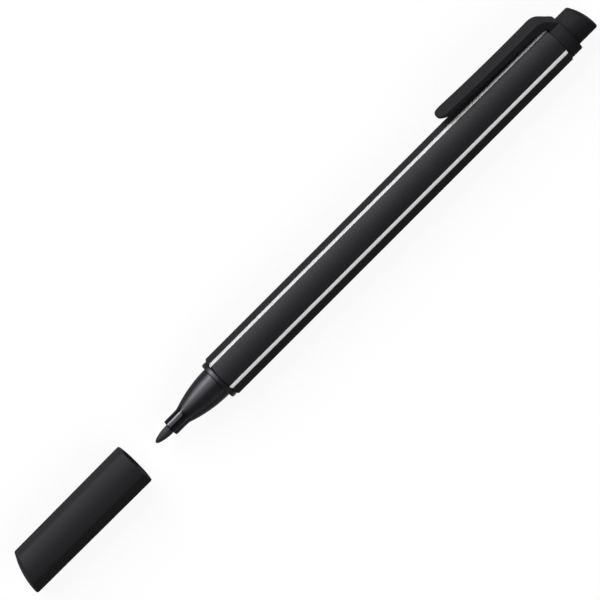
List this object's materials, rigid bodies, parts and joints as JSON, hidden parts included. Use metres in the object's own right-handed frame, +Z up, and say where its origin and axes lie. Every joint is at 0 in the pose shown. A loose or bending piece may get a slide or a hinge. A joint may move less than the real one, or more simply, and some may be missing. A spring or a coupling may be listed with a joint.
{
  "type": "fineliner pen",
  "caption": "Triangular black porous-tip pen with white edge stripes, glossy nozzle cone, bullet nib, rear pocket clip, slanted end plug and a push-on cap.",
  "frame": {"origin": "on the narrow flat that the pen rests on, half way along the barrel", "axes": "+X along the pen towards the end plug, +Z up from the table, clip towards +Y and up"},
  "size_m": [0.1803, 0.0138, 0.0115],
  "materials": {
    "body_plastic": "satin black moulded plastic",
    "front_plastic": "glossy black moulded plastic",
    "nib_plastic": "ground porous plastic soaked with black ink",
    "core_fibre": "bonded fibre wadding soaked with ink",
    "film_plastic": "clear film",
    "liner_plastic": "dark soft plastic"
  },
  "bodies": {
    "pen": {"barrel": "body_plastic", "front_section": "front_plastic", "nib": "nib_plastic", "ink_core": "core_fibre", "core_film": "film_plastic", "clip": "body_plastic", "end_plug": "body_plastic"},
    "cap": {"cap_shell": "body_plastic", "cap_liner": "liner_plastic"}
  },
  "joints": [
    {"name": "cap_slide", "type": "slide", "parent": "pen", "child": "cap", "axis": [1, 0, 0], "range_m": [0, 0.02605]}
  ]
}
